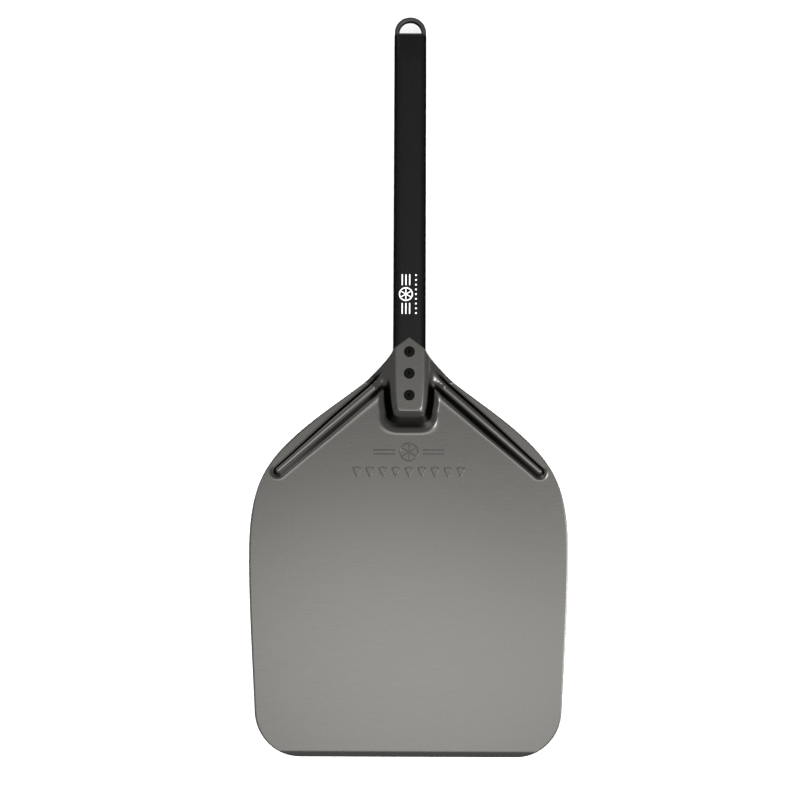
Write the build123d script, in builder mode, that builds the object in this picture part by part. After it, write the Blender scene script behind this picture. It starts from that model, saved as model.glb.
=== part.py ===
"""Pizza peel: a pressed sheet blade riveted to a flat-oval tube handle that ends in a hanging loop.

Frame: the peel lies flat, working side up. +Y runs from the blade to the handle, +Z is up.
The origin is under the middle of the whole peel, on the face that the blade rests on.
"""

import os
from math import radians, tan

from build123d import *

# Driving dimensions, mm
overall_length = 720.0
blade_half_width = 152.5
sheet = 1.5  # thickness of the blade's sheet
neck_height = 15.0  # rise of the neck's flat panel above the blade
tube_width, tube_depth, tube_corner, tube_wall = 31.5, 14.5, 5.5, 1.5
tube_start, tube_end = 331.5, 700.0
first_rivet, rivet_pitch, rivets = 341.8, 21.1, 3
rivet_hole, rivet_shank, rivet_head = 4.9, 4.8, 10.5  # diameters
loop_outer, loop_hole = 15.5, 10.8  # radii of the bow
loop_depth, loop_edge = 7.0, 1.7

# Every place along the peel is measured from the middle of the blade's front edge
deck = Plane((0, -overall_length / 2, 0))

# The blade's outline: flared sides, round shoulders, and a straight run up to the neck
front_half, front_corner, side_flare = 101.0, 44.0, 3.0
widest, shoulder_points = 195.0, [(148.5, 241.8), (135.7, 274.5)]
run_start, run_end, run_slope = (98.0, 313.8), (44.0, 355.3), (-0.79, 0.61)
throat_points, throat_end, throat_slope = [(27.9, 369.8), (18.3, 381.6)], (15.2, 387.0), (-0.3, 1.0)
chevron_apex = 398.0  # the end of the panel, over the tube
bevel_length, bevel_edge = 5.0, 0.5  # the top is ground down to an edge this thick

# The neck's pressing, to the corners that its roundings take off
neck_foot_half, neck_foot_start, neck_foot_corner, neck_top_corner = 24.9, 308.9, 9.0, 6.5
neck_side_slope, neck_front_slope = 55.0, 43.0
neck_crown, neck_fillet = 6.5, 4.5

# The two stiffening ribs, from under the neck's walls to the shoulders
rib_root, rib_tip = (16.0, 367.6), (126.0, 269.7)
rib_root_half, rib_tip_half = 7.0, 6.2
rib_height, rib_slope, rib_crown = 6.5, 58.0, 1.8

# The blind rivets: head and blind side, from the panel's top, and the mandrel broken off inside
head_rise, head_rim, mandrel_break = 1.7, 0.6, 1.1
bulb_radius, bulb_length, tail_length = 3.4, 2.6, 4.4
mandrel_radius, mandrel_bore, mandrel_head, mandrel_head_length = 1.35, 1.37, 2.3, 1.6

# The end plug, with the loop's feet moulded into it
collar = 2.0  # the plug's collar over the tube's rim
plug_length, plug_gap = 24.0, 0.15
plug_ridges, ridge_length, ridge_width = (5.0, 15.0), 1.5, 16.0  # they wedge the plug in the tube
foot_place, foot_width, foot_depth, foot_length = 12.0, 2.8, 4.4, 12.0
toe_depth, toe_length = 7.0, 3.0

panel_top = sheet + neck_height
tube_top = panel_top - sheet
tube_middle = tube_top - tube_depth / 2
grip = sheet + tube_wall
collar_top = tube_end + collar
loop_centre = overall_length - loop_outer
front_edge = -overall_length / 2
rivet_places = [(0, front_edge + first_rivet + n * rivet_pitch, panel_top) for n in range(rivets)]


def across(along):
    """The plane square to the handle at this place along the peel, at the tube's middle height."""
    return Plane((0, front_edge + along, tube_middle), x_dir=(1, 0, 0), z_dir=(0, 1, 0))


# The blade, one sheet pressed in one hit: both of its faces are the same form, a sheet's thickness apart


def wall_run(rise, slope, depth):
    """How far a wall at this slope has leaned in at this rise, for the face this deep in the sheet."""
    return rise / tan(radians(slope)) + depth * tan(radians(slope / 2))


def pressed_form(level, depth):
    """Solid under one face of the sheet: level is the height of its flat, depth how far inside it lies."""
    with BuildPart() as ribs:
        for rise in (0, rib_height):
            narrowing = wall_run(rise, rib_slope, depth)
            with BuildSketch(deck.offset(level + rise)):
                with Locations(rib_root):
                    Circle(rib_root_half - narrowing)
                with Locations(rib_tip):
                    Circle(rib_tip_half - narrowing)
                make_hull()
        loft(ruled=True)
        fillet(ribs.faces().sort_by(Axis.Z)[-1].edges(), rib_crown - depth)
        mirror(about=Plane.YZ)
    with BuildPart() as form:
        for rise, corner in ((0, neck_foot_corner), (neck_height, neck_top_corner)):
            half = neck_foot_half - wall_run(rise, neck_side_slope, depth)
            start = neck_foot_start + wall_run(rise, neck_front_slope, depth)
            radius = corner - wall_run(0, neck_side_slope, depth)
            with BuildSketch(deck.offset(level + rise)):
                with Locations((0, (start + overall_length) / 2)):
                    RectangleRounded(2 * half, overall_length - start, radius)
        loft(ruled=True)
        fillet(form.faces().sort_by(Axis.Z)[-1].edges(), neck_crown - depth)
        add(ribs.part)
        with BuildSketch(deck.offset(level)):
            with Locations((0, overall_length / 2)):
                Rectangle(overall_length, 2 * overall_length)
        extrude(amount=-neck_height)
        ground = form.faces().filter_by(Plane.XY).filter_by_position(Axis.Z, level, level)[0]
        fillet(ground.inner_wires()[0].edges(), neck_fillet + depth)
    return form.part


upper_form = pressed_form(sheet, 0)
lower_form = pressed_form(0, sheet)

with BuildPart() as blade:
    with BuildSketch(deck):
        with BuildLine():
            front = Line((0, 0), (front_half, 0))
            corner = JernArc(front @ 1, front % 1, front_corner, 90 - side_flare)
            side = Spline(corner @ 1, (blade_half_width, widest), tangents=[corner % 1, (0, 1)])
            Spline(side @ 1, *shoulder_points, run_start, tangents=[(0, 1), run_slope])
            Line(run_start, run_end)
            Spline(run_end, *throat_points, throat_end, tangents=[run_slope, throat_slope])
            Line(throat_end, (0, chevron_apex))
            mirror(about=Plane.YZ)
        make_face()
    extrude(amount=panel_top)
    add(upper_form, mode=Mode.INTERSECT)
    add(lower_form, mode=Mode.SUBTRACT)
    with BuildSketch(Plane.YZ):
        with Locations((front_edge, 0)):
            Polygon((0, bevel_edge), (bevel_length, sheet), (0, sheet), align=None)
    extrude(amount=blade_half_width, both=True, mode=Mode.SUBTRACT)
    with Locations(*rivet_places):
        Hole(rivet_hole / 2, depth=grip)


# The handle: a drawn tube that runs under the neck's panel


with BuildPart() as handle_tube:
    with BuildSketch(across(tube_start)):
        RectangleRounded(tube_width, tube_depth, tube_corner)
        offset(amount=-tube_wall, mode=Mode.SUBTRACT)
    extrude(amount=tube_end - tube_start)
    with Locations(*rivet_places):
        Hole(rivet_hole / 2, depth=grip)


# The blind rivets that clamp the neck's panel to the tube's upper wall


def rivet_body(place):
    """Flanged sleeve whose blind end has been pulled up into a bulb inside the tube."""
    with BuildPart() as body:
        with BuildSketch(Plane(place, x_dir=(1, 0, 0), z_dir=(0, -1, 0))):
            with BuildLine():
                dome = RadiusArc((mandrel_bore, head_rise), (rivet_head / 2, head_rim), rivet_head)
                Polyline(
                    dome @ 1,
                    (rivet_head / 2, 0),
                    (rivet_shank / 2, 0),
                    (rivet_shank / 2, -grip),
                    (bulb_radius, -grip),
                    (bulb_radius, -grip - bulb_length),
                    (rivet_shank / 2, -grip - tail_length),
                    (mandrel_bore, -grip - tail_length),
                    (mandrel_bore, head_rise),
                )
            make_face()
        revolve(axis=Axis(place, (0, 0, 1)))
    return body.part


def rivet_mandrel(place):
    """Broken-off pin with the head that pulled the blind end up."""
    tail = Plane(place).offset(-grip - tail_length)
    with BuildPart() as mandrel:
        with BuildSketch(tail):
            Circle(mandrel_radius)
        extrude(amount=tail_length + grip + mandrel_break)
        with BuildSketch(tail):
            Circle(mandrel_head)
        extrude(amount=-mandrel_head_length)
    return mandrel.part


# The end plug and the hanging loop


def loop_feet():
    """The two flat feet under the loop, each with a wider toe that locks it in the plug."""
    with BuildPart() as feet:
        with BuildSketch(across(collar_top)):
            with GridLocations(2 * foot_place, 0, 2, 1):
                Rectangle(foot_width, foot_depth)
        extrude(amount=-foot_length)
        with BuildSketch(across(collar_top - foot_length)):
            with GridLocations(2 * foot_place, 0, 2, 1):
                Rectangle(foot_width, toe_depth)
        extrude(amount=toe_length)
    return feet.part


feet = loop_feet()

with BuildPart() as hanging_loop:
    with BuildSketch(Plane((0, front_edge + loop_centre, tube_middle))):
        base = loop_centre - collar_top
        Circle(loop_outer)
        with Locations((0, -base / 2)):
            Rectangle(2 * loop_outer, base)
            Rectangle(2 * loop_hole, base, mode=Mode.SUBTRACT)
        Circle(loop_hole, mode=Mode.SUBTRACT)
        with Locations((0, -base - loop_outer)):
            Rectangle(2 * loop_outer, 2 * loop_outer, mode=Mode.SUBTRACT)
    extrude(amount=loop_depth / 2, both=True)
    seat = hanging_loop.faces().sort_by(Axis.Y)[:2].edges()
    fillet(hanging_loop.faces().filter_by(Plane.XY).edges() - seat, loop_edge)
    add(feet)

with BuildPart() as end_plug:
    with BuildSketch(across(tube_end)):
        RectangleRounded(tube_width, tube_depth, tube_corner)
    extrude(amount=collar)
    with BuildSketch(across(tube_end)):
        RectangleRounded(tube_width, tube_depth, tube_corner)
        offset(amount=-tube_wall - plug_gap, mode=Mode.REPLACE)
    extrude(amount=-plug_length)
    for ridge in plug_ridges:
        with BuildSketch(across(tube_end - ridge)):
            Rectangle(ridge_width, tube_depth - 2 * tube_wall)
        extrude(amount=-ridge_length)
    add(feet, mode=Mode.SUBTRACT)


pieces = {"blade": blade.part, "handle_tube": handle_tube.part}
for number, place in enumerate(rivet_places, start=1):
    pieces[f"rivet_body_{number}"] = rivet_body(place)
    pieces[f"rivet_mandrel_{number}"] = rivet_mandrel(place)
pieces["end_plug"] = end_plug.part
pieces["hanging_loop"] = hanging_loop.part

os.makedirs("parts", exist_ok=True)
for name, piece in pieces.items():
    piece.label = name
    export_step(piece, f"parts/{name}.step")
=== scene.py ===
"""Pizza peel: the visual model. Metres, +Y from the blade to the handle, +Z up, working side up."""

from math import cos, pi, radians, sin

import bpy
import numpy as np
from mathutils import Matrix, Vector


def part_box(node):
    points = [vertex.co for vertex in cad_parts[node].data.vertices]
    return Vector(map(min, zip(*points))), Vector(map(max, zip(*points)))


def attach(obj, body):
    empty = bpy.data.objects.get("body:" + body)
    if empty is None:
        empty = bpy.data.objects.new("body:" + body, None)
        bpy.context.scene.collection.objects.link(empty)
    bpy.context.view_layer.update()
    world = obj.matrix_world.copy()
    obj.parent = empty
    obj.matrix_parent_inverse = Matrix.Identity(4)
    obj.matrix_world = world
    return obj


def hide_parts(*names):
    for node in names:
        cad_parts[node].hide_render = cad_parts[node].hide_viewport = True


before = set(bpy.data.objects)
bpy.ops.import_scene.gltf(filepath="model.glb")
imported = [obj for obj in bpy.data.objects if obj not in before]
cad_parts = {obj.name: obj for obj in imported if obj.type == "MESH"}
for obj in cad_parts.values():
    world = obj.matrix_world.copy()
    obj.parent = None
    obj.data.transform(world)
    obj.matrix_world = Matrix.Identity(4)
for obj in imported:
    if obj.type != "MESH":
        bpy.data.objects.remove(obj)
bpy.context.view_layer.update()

# ---- Blade ----
# One sheet of hard-anodised aluminium, blanked to its outline and pressed in one hit. The pressing
# makes the hollow neck that goes over the handle's tube, and two stiffening ribs out to the shoulders.
# The front edge is ground thin on its top side, to slide under a pizza.

blade_low, blade_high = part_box("blade")
sheet = 0.0015
front_half, front_corner, side_flare = 0.101, 0.044, radians(3)
widest_place, shoulder_start, run_end = 0.195, (0.110, 0.3036), (0.044, 0.3553)
shoulder_turn, run_turn, throat_turn = radians(47), radians(52), radians(17)
throat_end, apex_place, vee_start = (0.0152, 0.387), 0.398, 0.35
bevel_length, bevel_edge = 0.005, 0.0005
rim_radius, rim_share = 0.0004, 0.48  # the share keeps it under half the thickness of a ground edge

neck_rise = 0.015
panel_half, panel_waist, panel_taper = 0.0124, 0.0028, 0.012
panel_start, panel_corner, neck_squareness = 0.3276, 0.004, 3.2
lip = 0.006  # the shallow slope round the panel, above the steep wall
throat_opening, throat_range = 2.6, (0.346, 0.370)  # the walls fan out towards the handle

rib_root, rib_tip = Vector((0.01554, 0.36697)), Vector((0.12604, 0.27027))
rib_rise, rib_tip_rise = 0.0071, 0.0052
inner_narrowing, outer_narrowing = 0.12, 0.38  # towards the tip
narrowing_range, lowering_range = (0.4, 1.05), (0.5, 1.0)  # shares of the way from root to tip
rib_wall_end, rib_flare, flare_length = 0.0074, 3.0, 0.026  # the inner foot widens into the neck

rib_fade = 0.85  # a rib has run out where the neck reaches this share of its height

# How steep each wall is: (distance out from its flat top or its crest, degrees)
neck_side_slopes = (
    (0, 0), (0.0022, 17), (0.0056, 23), (0.0068, 58),
    (0.012, 58), (0.0131, 33), (0.0172, 22), (0.0195, 0),
)
neck_front_slopes = (
    (0, 0), (0.001, 17), (0.004, 24), (0.007, 41), (0.0148, 47),
    (0.0165, 38), (0.0197, 20), (0.0217, 5), (0.0231, 0),
)
rib_inner_slopes = (
    (0, 0), (0.0006, 2), (0.0013, 9), (0.0023, 20), (0.0031, 36), (0.0037, 51),
    (0.0074, 53), (0.0082, 38), (0.0092, 20), (0.0104, 4), (0.0112, 0),
)
rib_outer_slopes = (
    (0, 0), (0.0006, 5), (0.0014, 22), (0.003, 30), (0.0036, 60),
    (0.0055, 64), (0.0061, 36), (0.0069, 10), (0.0078, 0),
)

# The mesh: how far apart its rows are, how many columns each half has, and a guard against zero
row_step, row_narrowing = 0.008, 0.0073
side_step, front_step, half_columns = 0.006, 0.003, 87
tiny = 1e-9


def smooth_step(value, start, end):
    """From 0 at start to 1 at end, with no corner at either."""
    t = np.clip((value - start) / (end - start), 0, 1)
    return t * t * (3 - 2 * t)


def bent(start, start_turn, end, end_turn, pull, steps):
    """A smooth run of points between two places. A turn is measured from +Y, towards -X."""
    leave = np.array((-sin(start_turn), cos(start_turn))) * pull[0]
    arrive = np.array((-sin(end_turn), cos(end_turn))) * pull[1]
    t = np.linspace(0, 1, steps + 1)[1:, None]
    near, far = np.array(start), np.array(end)
    middle = 3 * (1 - t) ** 2 * t * (near + leave) + 3 * (1 - t) * t**2 * (far - arrive)
    return (1 - t) ** 3 * near + middle + t**3 * far


def blade_side():
    """The outline's right side, finely, from the front corner's start to the end of the throat."""
    turn = np.linspace(0, pi / 2 - side_flare, 60)
    corner = np.stack((front_half + front_corner * np.sin(turn), front_corner * (1 - np.cos(turn))), 1)
    widest = ((blade_high.x - blade_low.x) / 2, widest_place)
    side = bent(corner[-1], -side_flare, widest, 0, (0.037, 0.046), 80)
    shoulder = bent(widest, 0, shoulder_start, shoulder_turn, (0.058, 0.041), 120)
    run = bent(shoulder_start, shoulder_turn, run_end, run_turn, (0.028, 0.028), 80)
    throat = bent(run_end, run_turn, throat_end, throat_turn, (0.0105, 0.0084), 60)
    return np.vstack((corner, side, shoulder, run, throat))


def wall_share(distance, slopes):
    """How much of a pressed wall's height is left at this distance out: from 1 to 0."""
    places, degrees = np.array(slopes).T
    out = np.linspace(0, places[-1], 800)
    steep = np.tan(np.radians(np.interp(out, places, degrees)))
    fallen = np.concatenate(([0], np.cumsum(steep[1:] + steep[:-1])))
    return np.interp(distance, out, 1 - fallen / fallen[-1])


def pressing(x, y):
    """Height of the sheet's top above the flat blade, at places measured from the front edge."""
    half = panel_half - panel_waist * np.exp(-np.maximum(y - panel_start, 0) / panel_taper)
    out, ahead = np.abs(x) - half + panel_corner, panel_start - y + panel_corner
    beside, before = np.maximum(out, 0), np.maximum(ahead, 0)
    corner = (beside**neck_squareness + before**neck_squareness) ** (1 / neck_squareness)
    away = corner + np.minimum(np.maximum(out, ahead), 0) - panel_corner
    opened = 1 + throat_opening * smooth_step(y, *throat_range)
    side_wall = wall_share(np.minimum(away, lip) + np.maximum(away - lip, 0) / opened, neck_side_slopes)
    front_wall = wall_share(away, neck_front_slopes)
    turned_front = smooth_step(before / (before + beside + tiny), 0.15, 0.85)
    neck = side_wall + (front_wall - side_wall) * turned_front

    axis = rib_tip - rib_root
    side, along = np.abs(x) - rib_root.x, y - rib_root.y
    share = np.clip((side * axis.x + along * axis.y) / axis.length_squared, 0, 1)
    off_x, off_y = side - share * axis.x, along - share * axis.y
    off = np.hypot(off_x, off_y)
    outward = (off_y * axis.x - off_x * axis.y) / axis.length / np.maximum(off, tiny)
    narrowed = smooth_step(share, *narrowing_range)
    widened = 1 + rib_flare * np.exp(-share * axis.length / flare_length)
    off_inner = off / (1 - inner_narrowing * narrowed)
    off_outer = off / (1 - outer_narrowing * narrowed)
    foot = np.maximum(off_inner - rib_wall_end, 0) / widened
    inner = wall_share(np.minimum(off_inner, rib_wall_end) + foot, rib_inner_slopes)
    outer = wall_share(off_outer, rib_outer_slopes)
    rib = inner + (outer - inner) * (1 + outward) / 2
    rib *= rib_rise + (rib_tip_rise - rib_rise) * smooth_step(share, *lowering_range)
    return neck * neck_rise + rib * (1 - smooth_step(neck, 0, rib_fade))


def sheet_faces(x, y):
    """Points on the sheet's top and under it, and the direction square to it."""
    probe = 0.00002
    slope_x = (pressing(x + probe, y) - pressing(x - probe, y)) / (2 * probe)
    slope_y = (pressing(x, y + probe) - pressing(x, y - probe)) / (2 * probe)
    square = np.stack((-slope_x, -slope_y, np.ones_like(x)), -1)
    square /= np.linalg.norm(square, axis=-1, keepdims=True)
    top = np.stack((x, y, pressing(x, y) + sheet), -1)
    under = top - square * sheet
    top[..., 2] -= (sheet - bevel_edge) * np.clip(1 - y / bevel_length, 0, 1)
    return top, under, square


def blade_rows(side):
    """The places along the outline where the mesh's rows end: closest where the sheet is pressed."""
    step_y = row_step - row_narrowing * smooth_step(side[:, 1], 0.24, 0.262)
    moved = np.abs(np.diff(side, axis=0))
    demand = moved[:, 1] / step_y[1:] + moved[:, 0] / side_step
    demand += (side[1:, 1] < bevel_length * 1.5) * np.hypot(*moved.T) / front_step
    so_far = np.concatenate(([0], np.cumsum(demand)))
    wanted = np.linspace(0, so_far[-1], int(so_far[-1]) + 1)
    return np.stack([np.interp(wanted, so_far, side[:, axis]) for axis in (0, 1)], 1)


def blade_columns(edge_x, y):
    """How far out each column of one row lies: they crowd round the rib and the neck's wall."""
    out = np.linspace(0, edge_x, 400)
    rib_place = rib_root.x + (rib_root.y - y) * (rib_tip.x - rib_root.x) / (rib_root.y - rib_tip.y)
    pressed = smooth_step(y, 0.23, 0.262)
    crowd = 1 + 2.8 * pressed * np.exp(-(((out - rib_place) / 0.012) ** 2))
    crowd += 2.2 * smooth_step(y, 0.28, 0.305) * np.exp(-(((out - 0.019) / 0.011) ** 2))
    so_far = np.concatenate(([0], np.cumsum(crowd[1:] + crowd[:-1])))
    half = np.interp(np.linspace(0, so_far[-1], half_columns), so_far, out)
    return np.concatenate((-half[:0:-1], half))


def outline_normals(points):
    """Outward directions along the right side, square to it."""
    along = np.gradient(points, axis=0)
    along /= np.linalg.norm(along, axis=1, keepdims=True)
    return np.stack((along[:, 1], -along[:, 0]), 1)


def mesh_object(name, points, faces):
    """An object from points and faces, shaded smooth. The faces keep the direction they come in."""
    mesh = bpy.data.meshes.new(name)
    mesh.from_pydata([tuple(p) for p in points], [], faces)
    mesh.validate()
    mesh.shade_smooth()
    made = bpy.data.objects.new(name, mesh)
    bpy.context.scene.collection.objects.link(made)
    return made


def pressed_blade():
    """The blade's mesh: a grid for the top, the same grid under it, and a rounded rim round both."""
    ends = blade_rows(blade_side())
    normals = outline_normals(ends)
    normals[0] = (0, -1)
    inset = ends - normals * rim_radius
    vee = (apex_place - throat_end[1]) * smooth_step(inset[:, 1], vee_start, inset[-1, 1])
    rows_x = np.array([blade_columns(x, y) for x, y in inset])
    rows_y = inset[:, 1][:, None] + vee[:, None] * (1 - np.abs(rows_x) / inset[:, 0][:, None])
    top, under, square = sheet_faces(rows_x, rows_y)
    rows, columns = rows_x.shape

    grid = np.arange(rows * columns).reshape(rows, columns)
    points = [top.reshape(-1, 3), under.reshape(-1, 3)]
    quads = np.stack((grid[:-1, :-1], grid[:-1, 1:], grid[1:, 1:], grid[1:, :-1]), -1).reshape(-1, 4)
    faces = [quads, quads[:, ::-1] + rows * columns]

    border = np.concatenate((grid[0, :-1], grid[:-1, -1], grid[-1, :0:-1], grid[:0:-1, 0]))
    rim_top, rim_under, rim_square = (part.reshape(-1, 3)[border] for part in (top, under, square))
    ahead, behind = np.roll(rim_top, -1, 0), np.roll(rim_top, 1, 0)
    outward = np.cross(ahead - behind, rim_square)
    outward /= np.linalg.norm(outward, axis=1, keepdims=True)
    thick = np.linalg.norm(rim_top - rim_under, axis=1)[:, None]
    radius = np.minimum(rim_radius, rim_share * thick)
    loops = [border]
    total = 2 * rows * columns
    upper_centre, lower_centre = rim_top - rim_square * radius, rim_under + rim_square * radius
    for centre, turns in ((upper_centre, (60, 30, 0)), (lower_centre, (0, -30, -60))):
        for turn in np.radians(turns):
            points.append(centre + radius * (cos(turn) * outward + sin(turn) * rim_square))
            loops.append(np.arange(total, total + len(border)))
            total += len(border)
    loops.append(border + rows * columns)
    for upper, lower in zip(loops, loops[1:]):
        faces.append(np.stack((upper, lower, np.roll(lower, -1), np.roll(upper, -1)), -1))
    placed = np.vstack(points) + np.array((0, blade_low.y, 0))
    return mesh_object("pressed_blade", placed, np.vstack(faces).tolist())


def finish(name, colour, metal, roughness, **sockets):
    """A material with its constant values set on the shader's own sockets."""
    made = bpy.data.materials.new(name)
    made.use_nodes = True
    shader = made.node_tree.nodes["Principled BSDF"]
    shader.inputs["Base Color"].default_value = (*colour, 1)
    shader.inputs["Metallic"].default_value = metal
    shader.inputs["Roughness"].default_value = roughness
    for socket, value in sockets.items():
        shader.inputs[socket.replace("_", " ")].default_value = value
    return made


def grain(material, size, stretch, detail=4):
    """Noise across the piece, in its own places, drawn out by the stretch."""
    nodes, links = material.node_tree.nodes, material.node_tree.links
    places = nodes.new("ShaderNodeTexCoord")
    drawn = nodes.new("ShaderNodeVectorMath")
    drawn.operation = "MULTIPLY"
    drawn.inputs[1].default_value = stretch
    links.new(places.outputs["Object"], drawn.inputs[0])
    noise = nodes.new("ShaderNodeTexNoise")
    noise.inputs["Scale"].default_value = 1 / size
    noise.inputs["Detail"].default_value = detail
    links.new(drawn.outputs[0], noise.inputs["Vector"])
    return noise.outputs["Fac"]


noise_low, noise_high = 0.3, 0.7  # the part of the noise that is used


def spread(material, fac, low, high, socket):
    """Lets the noise move one socket of the shader between two values, or two colours."""
    nodes, links = material.node_tree.nodes, material.node_tree.links
    shader = nodes["Principled BSDF"]
    if isinstance(low, tuple):
        ramp = nodes.new("ShaderNodeValToRGB")
        first, last = ramp.color_ramp.elements[0], ramp.color_ramp.elements[1]
        first.position, first.color = noise_low, (*low, 1)
        last.position, last.color = noise_high, (*high, 1)
        links.new(fac, ramp.inputs["Fac"])
        links.new(ramp.outputs["Color"], shader.inputs[socket])
        return
    spread_node = nodes.new("ShaderNodeMapRange")
    spread_node.inputs["From Min"].default_value = noise_low
    spread_node.inputs["From Max"].default_value = noise_high
    spread_node.inputs["To Min"].default_value = low
    spread_node.inputs["To Max"].default_value = high
    links.new(fac, spread_node.inputs["Value"])
    links.new(spread_node.outputs["Result"], shader.inputs[socket])


def relief(material, fac, depth):
    """A fine relief from the noise, this deep in metres."""
    nodes, links = material.node_tree.nodes, material.node_tree.links
    bump = nodes.new("ShaderNodeBump")
    bump.inputs["Strength"].default_value = 1.0
    bump.inputs["Distance"].default_value = depth
    links.new(fac, bump.inputs["Height"])
    links.new(bump.outputs["Normal"], nodes["Principled BSDF"].inputs["Normal"])


anodised_sheet = finish("anodised_sheet", (0.5, 0.49, 0.465), 1.0, 0.25)
rolling = grain(anodised_sheet, 0.0006, (0.05, 1, 1))
spread(anodised_sheet, rolling, (0.482, 0.468, 0.442), (0.518, 0.504, 0.478), "Base Color")
spread(anodised_sheet, rolling, 0.235, 0.275, "Roughness")

blade = pressed_blade()
blade.data.materials.append(anodised_sheet)
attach(blade, "root")
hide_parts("blade")

# ---- Stamped ornament on the blade ----
# A ring cut in six like a pizza, between two bars, over a row of plain slices. The same die stamps
# it into the sheet in low, rounded lines.

stamp_width, stamp_height = 0.0012, 0.00016
ring_place, ring_radius, row_place = 0.2885, 0.0085, 0.2685
bar_start, bar_end, bar_lift = 0.0135, 0.034, 0.002
slice_count, slice_pitch, slice_width, slice_length = 9, 0.0125, 0.0075, 0.0085
crust_bulge = 0.001
line_end, line_sink = 0.35, 0.0002  # how small a line gets at its ends, how deep it is set in


def skin(rings, joined=False):
    """Points and faces of a skin over rings of points: the ends are joined or closed flat."""
    count = len(rings[0])
    points = np.vstack(rings)
    order = np.arange(len(points)).reshape(-1, count)
    pairs = list(zip(order, np.roll(order, -1, 0))) if joined else list(zip(order, order[1:]))
    faces = []
    for here, there in pairs:
        faces += np.stack((here, np.roll(here, -1), np.roll(there, -1), there), -1).tolist()
    if not joined:
        faces += [order[0][::-1].tolist(), order[-1].tolist()]
    return points, faces


def several(name, skins):
    """One object from a number of skins."""
    points, faces, total = [], [], 0
    for some, theirs in skins:
        points.append(some)
        faces += [[corner + total for corner in face] for face in theirs]
        total += len(some)
    return mesh_object(name, np.vstack(points), faces)


def line_skin(path, width, height, level, closed=False):
    """A low rounded line along a path of (x, y) places, with tapered ends unless it is closed."""
    path = np.array(path)
    if closed:
        along = np.roll(path, -1, 0) - np.roll(path, 1, 0)
    else:
        along = np.gradient(path, axis=0)
    along /= np.linalg.norm(along, axis=1, keepdims=True)
    aside = np.stack((along[:, 1], -along[:, 0]), 1)
    rings = []
    for number, (place, out) in enumerate(zip(path, aside)):
        end = not closed and number in (0, len(path) - 1)
        scale = line_end if end else 1.0
        ring = []
        for turn in np.radians((180, 135, 90, 45, 0)):
            across = cos(turn) * width / 2 * scale
            ring.append((*(place + out * across), level + sin(turn) * height * scale))
        ring.append((*place, level - line_sink))
        rings.append(np.array(ring))
    return skin(rings, joined=closed)


def stroke(start, end, steps=6):
    """Places along a straight line, with its ends pulled in a little for the taper."""
    share = np.concatenate(([0, 0.02], np.linspace(0.08, 0.92, steps), [0.98, 1]))[:, None]
    return np.array(start) * (1 - share) + np.array(end) * share


def sliced_ring(middle, radius, width, height, level):
    """A ring and the three lines that cut it in six."""
    turns = np.linspace(0, 2 * pi, 48, endpoint=False)
    middle = np.array(middle)
    ring = middle + radius * np.stack((np.cos(turns), np.sin(turns)), 1)
    lines = [line_skin(ring, width, height, level, closed=True)]
    for turn in np.radians((30, 90, 150)):
        out = (radius - width * 0.8) * np.array((cos(turn), sin(turn)))
        lines.append(line_skin(stroke(middle - out, middle + out), width * 0.8, height * 0.9, level))
    return lines


level = blade_low.z + sheet
front = blade_low.y
ornament = sliced_ring((0, front + ring_place), ring_radius, stamp_width, stamp_height, level)
for side in (-1, 1):
    for lift in (-bar_lift, bar_lift):
        place = front + ring_place + lift
        bar = stroke((side * bar_start, place), (side * bar_end, place))
        ornament.append(line_skin(bar, stamp_width, stamp_height, level))
for number in range(slice_count):
    middle = (number - (slice_count - 1) / 2) * slice_pitch
    top = front + row_place + slice_length / 2
    low = front + row_place - slice_length / 2
    crust = np.linspace(-1, 1, 9)[:, None] * (slice_width / 2, 0) + (middle, top)
    crust[:, 1] += crust_bulge * (1 - np.linspace(-1, 1, 9) ** 2)
    ornament.append(line_skin(crust, stamp_width, stamp_height, level))
    for edge in (-1, 1):
        cut = stroke((middle + edge * slice_width / 2, top), (middle, low))
        ornament.append(line_skin(cut, stamp_width * 0.9, stamp_height * 0.9, level))
stamp = several("stamped_ornament", ornament)
stamp.data.materials.append(anodised_sheet)
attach(stamp, "root")

# ---- Handle tube ----
# A drawn flat-oval aluminium tube, anodised black, cut square at both ends with its rims broken.
# It runs under the neck's panel at the front and is stopped by a plug at the back.

tube_low, tube_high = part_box("handle_tube")
tube_wall, tube_corner, tube_rim = 0.0015, 0.0066, 0.00035
least_corner, tube_stations = 0.0004, 14
tube_half, tube_deep = (tube_high.x - tube_low.x) / 2, (tube_high.z - tube_low.z) / 2
tube_middle = (tube_high.z + tube_low.z) / 2


def flat_oval(inset, place):
    """A ring round the handle's section, this far inside its outer face, at this place along Y."""
    half, deep = tube_half - inset, tube_deep - inset
    corner = max(tube_corner - inset, least_corner)
    ring = []
    for quarter, (side, up) in enumerate(((1, 1), (-1, 1), (-1, -1), (1, -1))):
        for turn in np.linspace(quarter, quarter + 1, 11) * pi / 2:
            x = side * (half - corner) + corner * cos(turn)
            ring.append((x, place, tube_middle + up * (deep - corner) + corner * sin(turn)))
    return np.array(ring)


def broken_rim(radius, turns=4):
    """Steps round a quarter circle, as (inset, setback) pairs from an end face to a side."""
    angles = np.linspace(0, pi / 2, turns)
    return [(radius * (1 - sin(angle)), radius * (1 - cos(angle))) for angle in angles]


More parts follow.
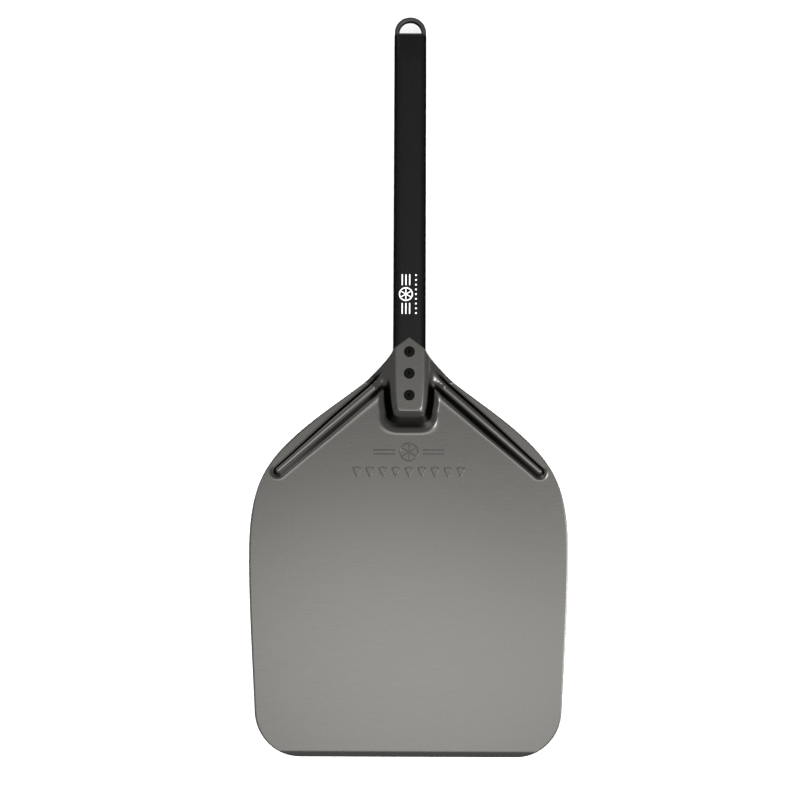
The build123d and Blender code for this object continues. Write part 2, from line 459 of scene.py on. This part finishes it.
rings = [flat_oval(inset, tube_low.y + back) for inset, back in broken_rim(tube_rim)]
rings += [flat_oval(0, place) for place in np.linspace(tube_low.y, tube_high.y, tube_stations)[1:-1]]
rings += [flat_oval(inset, tube_high.y - back) for inset, back in broken_rim(tube_rim)[::-1]]
rings += [flat_oval(tube_wall - inset, tube_high.y - back) for inset, back in broken_rim(tube_rim)]
rings += [flat_oval(tube_wall, place) for place in np.linspace(tube_high.y, tube_low.y, tube_stations)[1:-1]]
rings += [flat_oval(tube_wall - inset, tube_low.y + back) for inset, back in broken_rim(tube_rim)[::-1]]
tube = several("handle_tube_drawn", [skin(rings, joined=True)])

black_tube = finish("black_tube", (0.002, 0.002, 0.002), 0.0, 0.25, Specular_IOR_Level=1.0)
drawing = grain(black_tube, 0.0005, (1, 0.03, 1))
spread(black_tube, drawing, (0.0016, 0.0016, 0.00165), (0.0024, 0.0024, 0.0025), "Base Color")
spread(black_tube, drawing, 0.21, 0.28, "Roughness")
relief(black_tube, drawing, 0.0000015)
tube.data.materials.append(black_tube)
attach(tube, "root")
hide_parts("handle_tube")

# ---- Printed ornament on the handle ----
# White ink, printed on the tube's flat near the neck: a ring cut in six between two bars, and a
# row of dots beside it.

print_place, print_length, print_aside = 0.4405, 0.039, -0.0035
print_ring, print_line, ink = 0.0062, 0.0012, 0.00006
dot_count, dot_radius, dot_aside = 9, 0.0009, 0.0062
bar_aside, bar_gap, dot_sink, dot_steps = 0.0036, 0.0025, 0.0001, 16
level, middle = tube_high.z, blade_low.y + print_place


def circle(place, radius, height, steps):
    """A level ring of points round a place."""
    turns = np.linspace(0, 2 * pi, steps, endpoint=False)
    x, y = place[0] + radius * np.cos(turns), place[1] + radius * np.sin(turns)
    return np.stack((x, y, np.full(steps, height)), 1)


ornament = sliced_ring((print_aside, middle), print_ring, print_line, ink, level)
for side in (-1, 1):
    for aside in (-bar_aside, 0, bar_aside):
        near = (print_aside + aside, middle + side * (print_ring + bar_gap))
        far = (print_aside + aside, middle + side * print_length / 2)
        ornament.append(line_skin(stroke(near, far), print_line, ink, level))
for number in range(dot_count):
    along = middle + (number / (dot_count - 1) - 0.5) * (print_length - 2 * dot_radius)
    disc = [circle((dot_aside, along), dot_radius, level - dot_sink, dot_steps)]
    disc.append(circle((dot_aside, along), dot_radius, level + ink * 0.6, dot_steps))
    disc.append(circle((dot_aside, along), dot_radius * 0.7, level + ink, dot_steps))
    ornament.append(skin(disc))
printed = several("printed_ornament", ornament)
white_ink = finish("white_ink", (0.75, 0.75, 0.74), 0.0, 0.6)
inked = grain(white_ink, 0.0004, (1, 1, 1))
spread(white_ink, inked, (0.68, 0.68, 0.67), (0.8, 0.8, 0.79), "Base Color")
printed.data.materials.append(white_ink)
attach(printed, "root")

# ---- Blind rivets ----
# Three black-lacquered aluminium sleeves with low domed heads. Pulling a steel pin up into each one
# swells its blind end inside the tube, and the pin then breaks off just inside the head.


def turned(name, profile, place, steps=48, joined=False):
    """A piece turned about an upright axis from (radius, height) pairs: closed flat, or a sleeve."""
    rings = [circle(place, radius, height, steps) for radius, height in profile]
    return several(name, [skin(rings, joined=joined)])


def low_dome(inner, outer, steps=8):
    """(radius, height) pairs over a low dome, from an inner pair to an outer one."""
    share = np.linspace(0, 1, steps)
    radius = inner[0] + (outer[0] - inner[0]) * share
    height = inner[1] + (outer[1] - inner[1]) * share**2
    return list(zip(radius, height))


black_rivet = finish("black_rivet", (0.004, 0.004, 0.004), 0.0, 0.6, Specular_IOR_Level=0.25)
lacquer = grain(black_rivet, 0.0007, (1, 1, 1))
spread(black_rivet, lacquer, (0.002, 0.002, 0.002), (0.005, 0.005, 0.0048), "Base Color")
spread(black_rivet, lacquer, 0.5, 0.7, "Roughness")
relief(black_rivet, lacquer, 0.00004)
rivet_pin = finish("rivet_pin", (0.03, 0.03, 0.032), 1.0, 0.45)
broken = grain(rivet_pin, 0.0004, (1, 1, 1))
spread(rivet_pin, broken, (0.02, 0.02, 0.021), (0.06, 0.06, 0.062), "Base Color")
spread(rivet_pin, broken, 0.4, 0.6, "Roughness")
relief(rivet_pin, broken, 0.00008)

grip = sheet + tube_wall
seat = blade_high.z
bore, shank, bulb, pin_radius = 0.00142, 0.0024, 0.0034, 0.00135  # radii
tail_chamfer, bulb_low, bulb_swell = 0.0002, 0.0026, 0.0014
swell = np.linspace(0, pi / 2, 6)
for number in (1, 2, 3):
    body_low, body_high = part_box(f"rivet_body_{number}")
    pin_low, pin_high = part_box(f"rivet_mandrel_{number}")
    place = ((body_low.x + body_high.x) / 2, (body_low.y + body_high.y) / 2)
    head, blind, crown = (body_high.x - body_low.x) / 2, body_low.z, body_high.z
    profile = [(bore, blind), (shank, blind), (shank + tail_chamfer, blind + tail_chamfer)]
    for turn in swell:
        radius = shank + (bulb - shank) * sin(turn)
        profile.append((radius, seat - grip - bulb_low - bulb_swell * cos(turn)))
    profile += [(bulb, seat - grip - 0.0004), (bulb - 0.0003, seat - grip), (shank, seat - grip)]
    profile += [(shank, seat), (head - 0.0001, seat), (head, seat + 0.0001)]
    profile += [(head - 0.00012 * n * n, seat + 0.0004 + 0.00014 * n) for n in range(3)]
    profile += low_dome((bore + 0.0007, crown), (head - 0.0006, seat + 0.0008))[::-1]
    profile += [(bore + 0.0003, crown - 0.00008), (bore, crown - 0.0004)]
    body = turned(f"rivet_{number}_sleeve", profile, place, joined=True)
    body.data.materials.append(black_rivet)
    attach(body, "root")
    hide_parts(f"rivet_body_{number}")
    pin_head = (pin_high.x - pin_low.x) / 2
    outline = [(0.0003, pin_low.z), (pin_head * 0.75, pin_low.z + 0.0001), (pin_head, pin_low.z + 0.0006)]
    outline += [(pin_head, blind - 0.0002), (pin_head - 0.0002, blind), (pin_radius, blind)]
    outline += [(pin_radius, pin_high.z - 0.0005), (pin_radius * 0.8, pin_high.z - 0.0002)]
    outline += [(pin_radius * 0.45, pin_high.z), (0.0002, pin_high.z - 0.0001)]
    pin = turned(f"rivet_{number}_pin", outline, place, 32)
    pin.data.materials.append(rivet_pin)
    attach(pin, "root")
    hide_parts(f"rivet_mandrel_{number}")

# ---- End plug ----
# Moulded black plastic, pushed into the tube: a thin collar covers the tube's rim, and two ridges
# on its body wedge it inside.

plug_low, plug_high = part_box("end_plug")
collar_edge, body_inset, ridge_inset = 0.0006, 0.00168, 0.00155
plug_chamfer, collar_seat, end_inset = 0.0006, 0.0002, 0.0016
ridge_places, ramp_up, ramp_down, ridge_end = (0.0165, 0.0065), 0.0004, 0.0011, 0.0015
rings = [flat_oval(body_inset + plug_chamfer, plug_low.y)]
rings += [flat_oval(body_inset, plug_low.y + plug_chamfer)]
for ridge in ridge_places:
    near = tube_high.y - ridge
    rings += [flat_oval(body_inset, near), flat_oval(ridge_inset, near + ramp_up)]
    rings += [flat_oval(ridge_inset, near + ramp_down), flat_oval(body_inset, near + ridge_end)]
rings += [flat_oval(body_inset, tube_high.y)]
rings += [flat_oval(inset, tube_high.y + back) for inset, back in broken_rim(collar_seat)]
rings += [flat_oval(inset, plug_high.y - back) for inset, back in broken_rim(collar_edge, 6)[::-1]]
rings += [flat_oval(end_inset, plug_high.y)]
plug = several("moulded_plug", [skin(rings)])
black_plastic = finish("black_plastic", (0.012, 0.012, 0.012), 0.0, 0.5)
spark = grain(black_plastic, 0.00025, (1, 1, 1))
spread(black_plastic, spark, (0.009, 0.009, 0.009), (0.014, 0.014, 0.014), "Base Color")
spread(black_plastic, spark, 0.45, 0.6, "Roughness")
relief(black_plastic, spark, 0.00003)
plug.data.materials.append(black_plastic)
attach(plug, "root")
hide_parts("end_plug")

# ---- Hanging loop ----
# A die-cast bow, its outer edges rounded. Its two legs run down into the plug and end in wider toes
# that the plastic is moulded round.

loop_low, loop_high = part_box("hanging_loop")
bow_outer, bow_hole, bow_deep, bow_edge = loop_high.x, 0.0108, 0.0035, 0.0017
bow_centre = loop_high.y - bow_outer
bow_middle, bow_half = (bow_outer + bow_hole) / 2, (bow_outer - bow_hole) / 2
foot_half, foot_deep, toe_deep = 0.0014, 0.0022, (loop_high.z - loop_low.z) / 2
foot_middle, collar_top = 0.012, plug_high.y
foot_edge, toe_length, toe_end = 0.0003, 0.0027, 0.003
widen_start, widen_end, edge_share = 0.0006, 0.0005, 0.75


def bow_section(half, deep, edge):
    """A ring round the bow's section, as (outward, up) pairs, with rounded edges."""
    ring = []
    for quarter, (side, up) in enumerate(((1, 1), (-1, 1), (-1, -1), (1, -1))):
        for turn in np.linspace(quarter, quarter + 1, 7) * pi / 2:
            ring.append((side * (half - edge) + edge * cos(turn), up * (deep - edge) + edge * sin(turn)))
    return ring


stations = (
    (loop_low.y, foot_middle, foot_half - foot_edge, toe_deep - foot_edge),
    (loop_low.y + foot_edge, foot_middle, foot_half, toe_deep),
    (loop_low.y + toe_length, foot_middle, foot_half, toe_deep),
    (loop_low.y + toe_end, foot_middle, foot_half, foot_deep),
    (collar_top - widen_start, foot_middle, foot_half, foot_deep),
    (collar_top - widen_end, bow_middle, bow_half, bow_deep),
    (collar_top, bow_middle, bow_half, bow_deep),
    (bow_centre, bow_middle, bow_half, bow_deep),
)
path = [((out, place), (1, 0), half, deep) for place, out, half, deep in stations]
for turn in np.linspace(0, pi, 41)[1:-1]:
    middle = (bow_middle * cos(turn), bow_centre + bow_middle * sin(turn))
    path.append((middle, (cos(turn), sin(turn)), bow_half, bow_deep))
path += [((-out, place), (-1, 0), half, deep) for place, out, half, deep in stations[::-1]]
rings = []
for (x, y), (out_x, out_y), half, deep in path:
    section = bow_section(half, deep, min(bow_edge, half * edge_share, deep * edge_share))
    ring = [(x + out_x * out, y + out_y * out, tube_middle + up) for out, up in section]
    rings.append(np.array(ring))
loop = several("cast_loop", [skin(rings)])
grey_metal = finish("grey_metal", (0.42, 0.42, 0.42), 1.0, 0.38)
cast = grain(grey_metal, 0.0006, (1, 1, 1))
spread(grey_metal, cast, (0.38, 0.38, 0.38), (0.46, 0.46, 0.46), "Base Color")
spread(grey_metal, cast, 0.34, 0.44, "Roughness")
relief(grey_metal, cast, 0.00002)
loop.data.materials.append(grey_metal)
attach(loop, "root")
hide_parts("hanging_loop")

# ---- Studio ----
# A plain pale floor under the peel, a soft ceiling, two soft lights, and the camera above the
# blade, leaning a little towards its front edge.

floor_mesh = bpy.data.meshes.new("studio_floor")
reach, floor_drop = 6.0, 0.0002
corners = [(-reach, -reach, 0), (reach, -reach, 0), (reach, reach, 0), (-reach, reach, 0)]
floor_mesh.from_pydata(corners, [], [(0, 1, 2, 3)])
floor = bpy.data.objects.new("studio_floor", floor_mesh)
bpy.context.scene.collection.objects.link(floor)
floor.location.z = -floor_drop
floor.visible_glossy = False  # so that the metal does not mirror the floor
floor_paint = finish("floor_paint", (0.9, 0.9, 0.9), 0.0, 0.9)
floor_mesh.materials.append(floor_paint)

lean = radians(5)  # the soft ceiling is brightest a little to the right of straight up
world = bpy.data.worlds.new("studio")
bpy.context.scene.world = world
world.use_nodes = True
world.cycles.sampling_method = "NONE"
nodes, links = world.node_tree.nodes, world.node_tree.links
nodes.clear()
ray = nodes.new("ShaderNodeLightPath")
glossy, pale = nodes.new("ShaderNodeBackground"), nodes.new("ShaderNodeBackground")
look = nodes.new("ShaderNodeTexCoord")
height = nodes.new("ShaderNodeVectorMath")
height.operation = "DOT_PRODUCT"
height.inputs[1].default_value = (sin(lean), 0, cos(lean))
links.new(look.outputs["Generated"], height.inputs[0])
glow = nodes.new("ShaderNodeValToRGB")
lowest, highest = glow.color_ramp.elements[0], glow.color_ramp.elements[1]
lowest.position, lowest.color = 0.0, (0.006, 0.006, 0.006, 1)
highest.position, highest.color = 1.0, (0.25, 0.25, 0.25, 1)
ceiling = (
    (0.1, 0.01), (0.2, 0.03), (0.34, 0.085), (0.5, 0.1),
    (0.8, 0.1), (0.92, 0.11), (0.965, 0.165), (0.985, 0.22),
)
for rise, grey in ceiling:
    step = glow.color_ramp.elements.new(rise)
    step.color = (grey, grey, grey, 1)
links.new(height.outputs["Value"], glow.inputs["Fac"])
light_so_far = glow.outputs["Color"]
patch_edge, patch_core = cos(radians(24)), cos(radians(8))
patches = (((-0.64, 0.64, 0.42), 0.2), ((0.665, -0.665, 0.34), 0.14))  # low and bright, at two corners
for direction, strength in patches:
    facing = nodes.new("ShaderNodeVectorMath")
    facing.operation = "DOT_PRODUCT"
    facing.inputs[1].default_value = direction
    links.new(look.outputs["Generated"], facing.inputs[0])
    patch = nodes.new("ShaderNodeMapRange")
    patch.interpolation_type = "SMOOTHSTEP"
    patch.inputs["From Min"].default_value = patch_edge
    patch.inputs["From Max"].default_value = patch_core
    patch.inputs["To Max"].default_value = strength
    links.new(facing.outputs["Value"], patch.inputs["Value"])
    added = nodes.new("ShaderNodeVectorMath")
    links.new(light_so_far, added.inputs[0])
    links.new(patch.outputs["Result"], added.inputs[1])
    light_so_far = added.outputs["Vector"]
links.new(light_so_far, glossy.inputs["Color"])
first_bounce = nodes.new("ShaderNodeMath")
first_bounce.operation = "LESS_THAN"
first_bounce.inputs[1].default_value = 1.5
links.new(ray.outputs["Glossy Depth"], first_bounce.inputs[0])
links.new(first_bounce.outputs[0], glossy.inputs["Strength"])
pale.inputs["Color"].default_value = (1, 1, 1, 1)
pale.inputs["Strength"].default_value = 2.3
choose = nodes.new("ShaderNodeMixShader")
links.new(ray.outputs["Is Glossy Ray"], choose.inputs["Fac"])
links.new(pale.outputs[0], choose.inputs[1])
links.new(glossy.outputs[0], choose.inputs[2])
output = nodes.new("ShaderNodeOutputWorld")
links.new(choose.outputs[0], output.inputs["Surface"])


def soft_light(name, place, aim, width, length, watts):
    """A flat soft light that looks at a place."""
    data = bpy.data.lights.new(name, "AREA")
    data.shape = "ELLIPSE"
    data.size, data.size_y, data.energy = width, length, watts
    data.cycles.max_bounces = 0  # light passed from wall to wall would speckle the neck
    light = bpy.data.objects.new(name, data)
    bpy.context.scene.collection.objects.link(light)
    light.location = place
    light.rotation_euler = (Vector(aim) - Vector(place)).to_track_quat("-Z", "Y").to_euler()


soft_light("overhead_light", (-0.03, -0.33, 2.2), (0, -0.2, 0), 1.0, 0.7, 1.02)
soft_light("side_light", (0.82, -0.18, 1.8), (0, 0, 0), 0.22, 0.3, 1.7)

camera_data = bpy.data.cameras.new("camera")
camera = bpy.data.objects.new("camera", camera_data)
bpy.context.scene.collection.objects.link(camera)
camera_data.lens = 79.1
tilt, roll, distance = radians(7.5), radians(0.24), 1.7
aim = Vector((-0.0088, -0.0208, 0))
camera.location = aim + distance * Vector((0, -sin(tilt), cos(tilt)))
camera.rotation_euler = (Matrix.Rotation(tilt, 3, "X") @ Matrix.Rotation(roll, 3, "Z")).to_euler()
bpy.context.scene.camera = camera
bpy.context.scene.view_settings.view_transform = "Standard"
